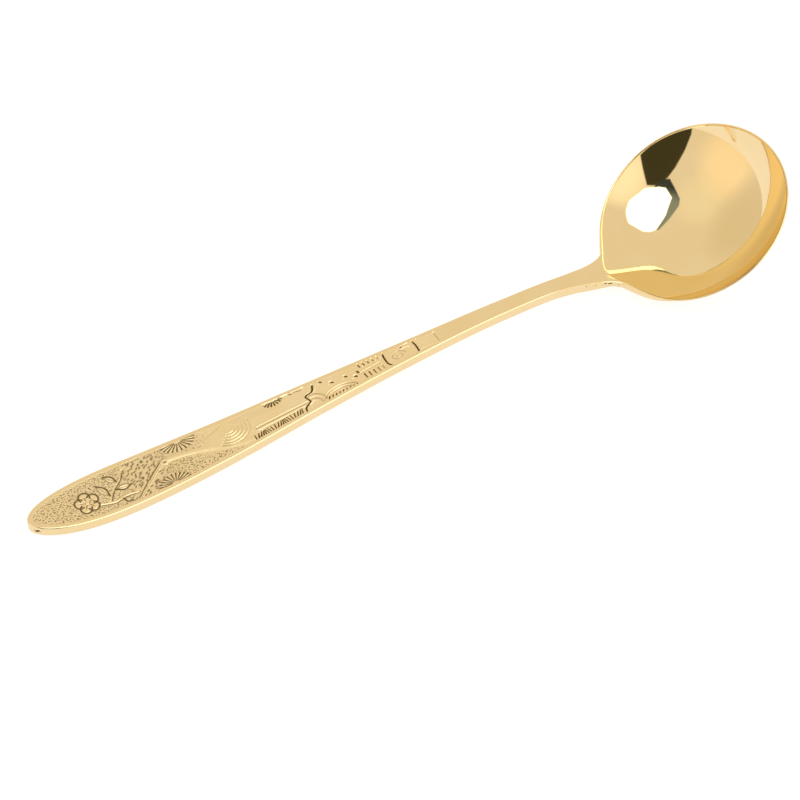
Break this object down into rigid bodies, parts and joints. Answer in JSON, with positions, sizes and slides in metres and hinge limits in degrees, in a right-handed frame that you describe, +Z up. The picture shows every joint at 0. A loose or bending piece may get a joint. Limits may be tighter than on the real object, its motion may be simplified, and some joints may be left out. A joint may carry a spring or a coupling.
{
  "type": "souvenir spoon",
  "caption": "Gold coloured table spoon with a nearly round bowl and a long slim handle whose widest end is struck with a bordered low relief.",
  "frame": {"origin": "under the middle of the spoon's length and width, on the surface that the spoon rests on", "axes": "+X from the handle's tip to the front of the bowl, +Y to the left of someone looking along +X, +Z up out of the bowl's mouth side"},
  "size_m": [0.1994, 0.0464, 0.0246],
  "materials": {
    "bowl_gold": "mirror polished, gold plated",
    "handle_gold": "polished, with a struck and finely pebbled field",
    "braze_gold": "polished braze filler with a few small pits, gold plated"
  },
  "bodies": {
    "root": {"bowl": "bowl_gold", "handle": "handle_gold", "braze_seam": "braze_gold"}
  },
  "joints": []
}
